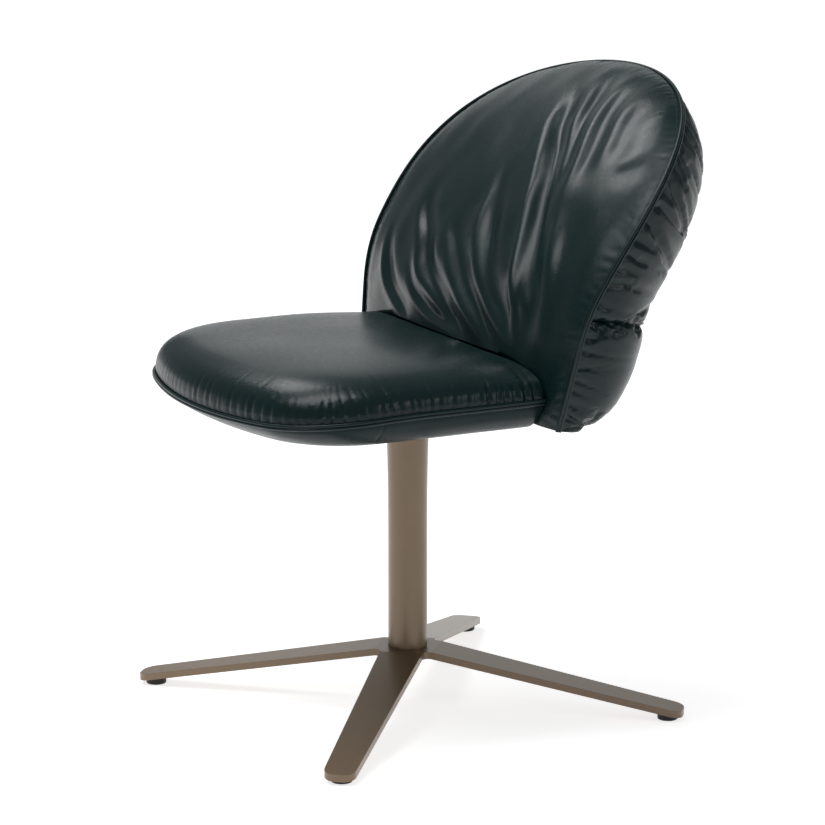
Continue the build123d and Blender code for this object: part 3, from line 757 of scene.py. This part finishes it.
share_across = np.linspace(-1, 1, front_columns)
width = half_width_at(rows)
x = width[:, None] * share_across[None]
run = np.repeat(rows[:, None], front_columns, axis=1)
crown = eased(rows, station_runs, station_crown)
rise = eased(np.abs(share_across), crown_across, crown_share)
height = crown[:, None] * rise[None]
from_edge = (1 - np.abs(share_across))[None] * width[:, None]
from_edge = np.minimum(from_edge, np.maximum(upper_len - run, 0))
fade = np.clip(from_edge / fold_fade, 0, 1)
height += fade * folds(x, run, fold_lines)
flat_points = np.stack([x, height * 0, run], axis=-1).reshape(-1, 3)
height += fade * panel_unevenness * waves(flat_points, length=90.0, seed=31).reshape(x.shape)

welt_line = np.concatenate([
    on_section(half_width_at(rows), np.zeros(len(rows)), rows),
    on_section(-half_width_at(rows), np.zeros(len(rows)), rows)[::-1],
])
welt_along = lengths_along(welt_line)
front = on_section(x, -height, run)
off, along = nearest(front.reshape(-1, 3), welt_line, welt_along)
height += fade * puckers(along, off, spacing=14.0, depth=0.7, reach=20.0, seed=32).reshape(x.shape)
front = on_section(x, -height, run)
seat_rise = cushion_rise[:-1] * seat_crown
seat_back = eased(front[..., 2] - seat_welt_z, seat_rise, seat_rear_y - rear_draw * cushion_inset[:-1])
below_shoulder = front[..., 2] < seat_welt_z + seat_crown - seat_shoulder
seat_back = np.where(below_shoulder, seat_back + seat_clearance, out_of_reach)
behind_seat = np.abs(front[..., 0]) < seat_half_w
front[..., 1] = np.where(behind_seat, np.maximum(front[..., 1], seat_back), front[..., 1])
faces, _ = closed_grid(*front.shape[:2])
piece = make_piece("back_front_leather", front.reshape(-1, 3), faces, leather)
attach(piece, "seat")
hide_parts("back_front_cushion")

# Back, upper bolster: the gusset and rear of the back above the waist, one stuffed piece whose
# leather is eased into the welt and drawn in at the waist. At its top middle the leather lies calm.
gusset_power = 4.0
waist_draw = 5.0
waist_reach = 13.0
welt_cap_share = 0.3
welt_cap_reach = 45.0
waist_tilt = 0.15
tilt_reach = 60.0
crest_reach = 50.0
seam_hold = 8.0
section_share = 0.75
fine_turns = 20001
station_depth = back_depth * np.array(
    [0.38, 0.55, 0.7, 0.85, 0.94, 0.96, 0.93, 0.85, 0.8, 0.78, 0.74, 0.7, 0.65, 0.57, 0.48, 0.32, 0.18]
)
rear_columns = 140
cloth_frames = 20
turn = np.linspace(0, math.pi, fine_turns)
across = np.sign(np.cos(turn)) * np.abs(np.cos(turn)) ** (2 / gusset_power)
behind = np.sin(turn) ** (2 / gusset_power)
section = np.stack([across * back_half_w, behind * back_depth * section_share], axis=1)
section = spread(section, rear_columns - 1)
across = np.append(section[:, 0] / back_half_w, -1)
behind = np.append(section[:, 1] / (back_depth * section_share), 0)


def rear_surface(runs):
    """Rear of the back at runs along it, from the near welt round to the far one."""
    depth = eased(runs, station_runs, station_depth)[:, None] * behind[None]
    x = half_width_at(runs)[:, None] * across[None]
    tilted = runs[:, None] + waist_tilt * depth * np.exp(-((runs / tilt_reach) ** 2))[:, None]
    return on_section(x, depth, tilted)


def outward(grid):
    """Unit normals of a grid of points, pointing away from its middle."""
    normal = np.cross(np.gradient(grid, axis=0), np.gradient(grid, axis=1))
    normal /= np.maximum(np.linalg.norm(normal, axis=-1, keepdims=True), 1e-9)
    return normal * np.sign(np.sum(normal * (grid - grid.reshape(-1, 3).mean(axis=0))))


def finer(grid):
    """Grid with a new point between each two along its columns and rows, on the smooth curve through them."""
    for axis in (0, 1):
        line = np.moveaxis(grid, axis, 0)
        ends = [2 * line[:1] - line[1:2], line, 2 * line[-1:] - line[-2:-1]]
        wide = np.concatenate(ends)
        between = (9 * (wide[1:-2] + wide[2:-1]) - wide[:-3] - wide[3:]) / 16
        doubled = np.zeros((2 * len(line) - 1,) + line.shape[1:])
        doubled[::2] = line
        doubled[1::2] = between
        grid = np.moveaxis(doubled, 0, axis)
    return grid


def blown(start, faces, held, slack, cap):
    """Points of a cover after the wadding swells it: cloth with some slack, held at its seams."""
    cover = placed("cover", closed_mesh("cover", start, faces))
    cover.vertex_groups.new(name="seams").add([int(k) for k in held], 1.0, "REPLACE")
    cloth = cover.modifiers.new("cover", "CLOTH")
    cloth.settings.quality = 6
    cloth.settings.mass = 0.1
    cloth.settings.tension_stiffness = 25
    cloth.settings.compression_stiffness = 25
    cloth.settings.shear_stiffness = 10
    cloth.settings.bending_stiffness = 1.5
    cloth.settings.air_damping = 2.0
    cloth.settings.vertex_group_mass = "seams"
    cloth.settings.use_pressure = True
    cloth.settings.uniform_pressure_force = 45.0
    cloth.settings.shrink_min = -slack
    cloth.settings.effector_weights.gravity = 0
    cloth.collision_settings.use_collision = False
    for number in range(1, cloth_frames + 1):
        bpy.context.scene.frame_set(number)
    graph = bpy.context.evaluated_depsgraph_get()
    ended = np.zeros(len(start) * 3)
    cover.evaluated_get(graph).data.vertices.foreach_get("co", ended)
    bpy.data.objects.remove(cover)
    bpy.context.scene.frame_set(1)
    move = ended.reshape(-1, 3) * 1000 - start
    far = np.linalg.norm(move, axis=1, keepdims=True)
    return start + move * cap * np.tanh(far / cap) / np.maximum(far, 1e-6)


def stuffed(name, node, runs, held_rows, gathers, slack, cap):
    """Closed bolster between its welts, drawn in at the waist and swollen, as a piece on the seat's body."""
    grid = rear_surface(runs)
    from_waist = np.minimum(np.abs(runs) / waist_reach, 1)
    drawn = waist_draw * (1 - np.sqrt(1 - (1 - from_waist) ** 2))
    off, along = nearest(grid.reshape(-1, 3), welt_line, welt_along)
    crest = on_section(0.0, 0.0, np.array(upper_len))
    from_crest = np.linalg.norm(grid - crest, axis=-1)
    calm = 1 - np.exp(-((from_crest / crest_reach) ** 2))
    hold = np.clip(off / seam_hold, 0, 1).reshape(grid.shape[:2]) * calm
    hold[:, [0, -1]] = 0
    gathered = puckers(along, off, **gathers).reshape(grid.shape[:2])
    grid = grid + outward(grid) * (hold * (gathered - drawn[:, None]))[..., None]
    faces, index = closed_grid(*grid.shape[:2])
    held = np.concatenate([index[:, 0], index[:, -1]] + [index[k] for k in held_rows])
    caps = cap * (np.clip(off / welt_cap_reach, welt_cap_share, 1) * calm.ravel())[:, None]
    swollen = finer(blown(grid.reshape(-1, 3), faces, held, slack, caps).reshape(grid.shape))
    faces, _ = closed_grid(*swollen.shape[:2])
    piece = make_piece(name, swollen.reshape(-1, 3), faces, leather)
    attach(piece, "seat")
    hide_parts(node)


stuffed(
    "back_upper_leather",
    "back_upper_bolster",
    upper_rows[::2],
    held_rows=(0,),
    gathers={"spacing": 24.0, "depth": 3.0, "reach": 60.0, "seed": 41},
    slack=0.04,
    cap=15.0,
)

# Back, lower pouch: the stuffed lower end of the back's cover, drawn in at the waist and closed
# along the bottom by a zip.
stuffed(
    "back_lower_leather",
    "back_lower_pouch",
    lower_rows,
    held_rows=(0, -1),
    gathers={"spacing": 17.0, "depth": 2.6, "reach": 50.0, "seed": 51},
    slack=0.05,
    cap=13.0,
)

# Back welt: the same double strip over two cords, sewn in between the front panel and the gusset.
# It runs from one lower corner over the top to the other.
back_welt_out = 0.8
_, _, lean = sheet_at(np.concatenate([rows, rows[::-1]]))
rearwards = np.stack([np.zeros(len(lean)), np.cos(lean), -np.sin(lean)], axis=1)
outwards = square_to(welt_line, directions(welt_line), rearwards)
points, faces = swept(welt_line + outwards * back_welt_out, outwards, rearwards)
piece = make_piece("back_welt_leather", points, faces, leather)
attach(piece, "seat")
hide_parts("back_welt")

# Topstitch: one row of waxed polyester thread through the front panel, close inside its welt, which
# holds the welt's seam flat. Twisted thread is dull, with a little sheen along each stitch.
stitch_inset = 5.5
stitch_pitch = 4.6
stitch_length = 3.7
thread_r = 0.45
seam_points = 700
seam_trim = 2
bead_sides = 8
thread, tree, shader, place = start_material("waxed polyester thread", Roughness=0.55)
# The twist is drawn coarser than the real one, so that it shows.
twist_mm = 0.8
twist = add_node(tree, "ShaderNodeTexNoise", {"Vector": place, "Scale": 1000 / twist_mm, "Detail": 2.0})
surface(tree, shader, twist, "#122023", "#24383a")


def repeat_tree(name, rings):
    """Geometry Nodes tree that repeats a small bead along a path, with named inputs, and its input names."""
    tree = bpy.data.node_groups.new(name, "GeometryNodeTree")
    tree.interface.new_socket("Path", in_out="INPUT", socket_type="NodeSocketGeometry")
    names = {}
    for size in ("Pitch", "Length", "Width", "Height"):
        socket = tree.interface.new_socket(size, in_out="INPUT", socket_type="NodeSocketFloat")
        names[size] = socket.identifier
    finish = tree.interface.new_socket("Finish", in_out="INPUT", socket_type="NodeSocketMaterial")
    names["Finish"] = finish.identifier
    tree.interface.new_socket("Result", in_out="OUTPUT", socket_type="NodeSocketGeometry")
    given = add_node(tree, "NodeGroupInput").outputs
    path = add_node(tree, "GeometryNodeMeshToCurve", {"Mesh": given["Path"]})
    even = add_node(
        tree,
        "GeometryNodeResampleCurve",
        {"Curve": path.outputs["Curve"], "Length": given["Pitch"]},
        mode="LENGTH",
    )
    bead = add_node(
        tree, "GeometryNodeMeshUVSphere", {"Segments": bead_sides, "Rings": rings, "Radius": 1.0}
    )
    way = add_node(tree, "GeometryNodeInputTangent")
    turn = add_node(tree, "FunctionNodeAlignRotationToVector", {"Vector": way.outputs["Tangent"]}, axis="Z")
    scale = add_node(
        tree, "ShaderNodeCombineXYZ", {"X": given["Width"], "Y": given["Height"], "Z": given["Length"]}
    )
    copies = add_node(
        tree,
        "GeometryNodeInstanceOnPoints",
        {
            "Points": even.outputs["Curve"],
            "Instance": bead.outputs["Mesh"],
            "Rotation": turn.outputs["Rotation"],
            "Scale": scale.outputs["Vector"],
        },
    )
    real = add_node(tree, "GeometryNodeRealizeInstances", {"Geometry": copies.outputs["Instances"]})
    dressed = add_node(
        tree, "GeometryNodeSetMaterial", {"Geometry": real.outputs["Geometry"], "Material": given["Finish"]}
    )
    add_node(tree, "NodeGroupOutput", {"Result": dressed.outputs["Geometry"]})
    return tree, names


def repeated(name, paths, tree, names, sizes, finish):
    """Plain mesh object of a repeat tree's result, from paths and sizes in millimetres."""
    mesh = bpy.data.meshes.new(name + "_path")
    points = np.vstack(paths) / 1000
    starts = np.cumsum([0] + [len(path) for path in paths])
    edges = [(k, k + 1) for i, path in enumerate(paths) for k in range(starts[i], starts[i] + len(path) - 1)]
    mesh.from_pydata(points.tolist(), edges, [])
    guide = placed(name + "_path", mesh)
    repeats = guide.modifiers.new("repeats", "NODES")
    repeats.node_group = tree
    for key, size in sizes.items():
        repeats[names[key]] = size / 1000
    repeats[names["Finish"]] = finish
    made = bpy.data.meshes.new_from_object(guide.evaluated_get(bpy.context.evaluated_depsgraph_get()))
    made.name = name
    bpy.data.objects.remove(guide)
    made.shade_smooth()
    return placed(name, made)


edge = np.stack([half_width_at(rows), rows], axis=1)
outline = np.vstack([edge, (edge * (-1, 1))[::-1]])
tangent = directions(outline)
line = outline + stitch_inset * np.stack([-tangent[:, 1], tangent[:, 0]], axis=1)
line = spread(line[seam_trim:-seam_trim], seam_points)
row = np.interp(line[:, 1], rows, np.arange(len(rows)))
column = (np.clip(line[:, 0] / half_width_at(line[:, 1]), -1, 1) + 1) / 2 * (front_columns - 1)
low_row = np.clip(row.astype(int), 0, len(rows) - 2)
low_column = np.clip(column.astype(int), 0, front_columns - 2)
u = (row - low_row)[:, None]
v = (column - low_column)[:, None]
seam_path = (1 - u) * ((1 - v) * front[low_row, low_column] + v * front[low_row, low_column + 1])
seam_path += u * ((1 - v) * front[low_row + 1, low_column] + v * front[low_row + 1, low_column + 1])
seam_path = seam_path[seam_path[:, 2] > seat_welt_z + seat_crown]
tree, names = repeat_tree("stitches along a seam", rings=6)
stitches = repeated(
    "back_topstitch",
    [seam_path],
    tree,
    names,
    {"Pitch": stitch_pitch, "Length": stitch_length / 2, "Width": thread_r, "Height": thread_r},
    thread,
)
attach(stitches, "seat")

# Zip: closes the cover along its bottom edge. Two woven tapes, sewn to the leather, carry moulded
# teeth that mesh between them. The tape is dull and ribbed, and the teeth have a soft shine.
zip_half_len = 205.0
zip_half_w = 5.0
tape_gap = 0.7
tape_t = 0.9
tape_edge = 0.3
tape_steps = 42
zip_drop = 0.6
tooth_pitch = 2.6
tooth_r = 0.75
tooth_half_len = 1.3
tooth_off = 0.45
tooth_drop = 0.2
teeth_start = 2.0
teeth_end = 3.0
teeth_points = 60
tape, tree, shader, place = start_material("woven polyester tape", Roughness=0.8)
# The ribs are drawn coarser than real ones, so that they show.
rib_mm = 5.655
ribs = add_node(
    tree,
    "ShaderNodeTexWave",
    {"Vector": place, "Scale": 1000 / rib_mm / wave_turns_per_unit},
    bands_direction="X",
)
surface(tree, shader, ribs, "#0c1213", "#1b2526", ribs, strength=0.4, deep_mm=0.2)

zip_run = -lower_len - zip_drop
tape_x = np.linspace(-zip_half_len, zip_half_len, tape_steps)
points = []
faces = []
for side in (-1, 1):
    middle = side * (zip_half_w + tape_gap) / 2
    half = (zip_half_w - tape_gap) / 2
    low = middle - half
    high = middle + half
    section = np.array([
        (low, -tape_edge), (low + tape_edge, 0), (high - tape_edge, 0), (high, -tape_edge),
        (high, tape_edge - tape_t), (high - tape_edge, -tape_t), (low + tape_edge, -tape_t),
        (low, tape_edge - tape_t),
    ])
    x = np.repeat(tape_x[:, None], len(section), axis=1)
    depth = np.repeat(section[None, :, 0], len(tape_x), axis=0)
    grid = on_section(x, depth, zip_run + np.repeat(section[None, :, 1], len(tape_x), axis=0))
    index = len(points) * grid.shape[0] * grid.shape[1] + np.arange(x.size).reshape(x.shape)
    points.append(grid.reshape(-1, 3))
    faces += tube_faces(index)
piece = make_piece("back_zip_tapes", np.vstack(points), faces, tape, 30)
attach(piece, "seat")
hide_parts("back_zip")

tree, names = repeat_tree("teeth along a zip", rings=5)
rows_of_teeth = []
for side in (-1, 1):
    first = teeth_start - zip_half_len + tooth_pitch * (side > 0) / 2
    x = np.linspace(first, zip_half_len - teeth_end, teeth_points)
    depth = np.full(teeth_points, side * tooth_off)
    rows_of_teeth.append(on_section(x, depth, np.full(teeth_points, zip_run - tape_t - tooth_drop)))
teeth = repeated(
    "back_zip_teeth",
    rows_of_teeth,
    tree,
    names,
    {"Pitch": tooth_pitch, "Length": tooth_r, "Width": tooth_half_len, "Height": tooth_half_len},
    nylon,
)
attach(teeth, "seat")
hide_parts("back_zip")

# Floor: a wide sheet of white paper. Its colour is white, and the eye and reflections see it lifted
# the rest of the way to white, while it still takes the chair's soft shadow.
bpy.context.scene.view_settings.view_transform = "Standard"
floor_size = 40.0
near_lift = 0.73
far_lift = 0.86
near_m = 1.0
far_m = 6.0
mesh = bpy.data.meshes.new("paper_floor")
half = floor_size / 2
mesh.from_pydata([(-half, -half, 0), (half, -half, 0), (half, half, 0), (-half, half, 0)], [], [(0, 1, 2, 3)])
floor = placed("paper_floor", mesh)
paper, tree, shader, place = start_material(
    "white paper",
    Base_Color=linear("#f4f4f4"),
    Roughness=0.9,
    Specular_IOR_Level=0.0,
    Emission_Color=(1, 1, 1, 1),
)
ray = add_node(tree, "ShaderNodeLightPath").outputs
seen = add_node(
    tree, "ShaderNodeMath", {0: ray["Is Camera Ray"], 1: ray["Is Glossy Ray"]}, operation="MAXIMUM"
)
seen = add_node(
    tree, "ShaderNodeMath", {0: seen.outputs[0], 1: ray["Is Transmission Ray"]}, operation="MAXIMUM"
)
distance = add_node(tree, "ShaderNodeVectorMath", {0: place}, operation="LENGTH")
lift = add_node(
    tree,
    "ShaderNodeMapRange",
    {
        "Value": distance.outputs["Value"],
        "From Min": near_m,
        "From Max": far_m,
        "To Min": near_lift,
        "To Max": far_lift,
    },
)
glow = add_node(
    tree, "ShaderNodeMath", {0: seen.outputs[0], 1: lift.outputs["Result"]}, operation="MULTIPLY"
)
tree.links.new(glow.outputs[0], shader.inputs["Emission Strength"])
mesh.materials.append(paper)

# Light: a dim even room and four soft boxes. The one overhead is the main light, the high left one
# draws the folds of the back, the low left one shines along the seat, and the right one fills.
room_level = 0.19
world = bpy.data.worlds.new("even room")
bpy.context.scene.world = world
world.use_nodes = True
world.node_tree.nodes["Background"].inputs["Color"].default_value = (1, 1, 1, 1)
world.node_tree.nodes["Background"].inputs["Strength"].default_value = room_level


def soft_box(name, watts, size, spot, aim):
    """Area lamp of a width and length that faces a point."""
    lamp = bpy.data.lights.new(name, "AREA")
    lamp.shape = "RECTANGLE"
    lamp.energy = watts
    lamp.size, lamp.size_y = size
    holder = placed(name, lamp)
    holder.location = spot
    holder.rotation_euler = (Vector(aim) - Vector(spot)).to_track_quat("-Z", "Y").to_euler()


soft_box("soft_box_overhead", 44.0, (1.1, 2.2), (0.05, -0.9, 2.9), (0, 0, 0.45))
soft_box("soft_box_high_left", 16.0, (1.1, 0.9), (-1.65, -0.25, 2.6), (0.1, 0.2, 0.7))
soft_box("soft_box_left", 8.0, (2.2, 2.2), (-3.0, 1.7, 1.4), (0, 0, 0.4))
soft_box("soft_box_right", 9.0, (1.1, 1.1), (2.7, 2.0, 1.5), (0, 0.1, 0.5))

# Camera: as in the photograph, to the right of the chair's front and a little above the seat.
# The long lens keeps the perspective flat.
lens_mm = 155.476
sensor_mm = 36.0
camera_spot = (3.9151, -1.9948, 1.3554)
camera_fall_deg = 12.53
camera_turn_deg = 62.92
camera_data = bpy.data.cameras.new("camera")
camera_data.sensor_width = sensor_mm
camera_data.lens = lens_mm
camera = placed("camera", camera_data)
camera.location = camera_spot
camera.rotation_euler = (math.radians(90 - camera_fall_deg), 0, math.radians(camera_turn_deg))
camera_data.clip_end = 100
bpy.context.scene.camera = camera
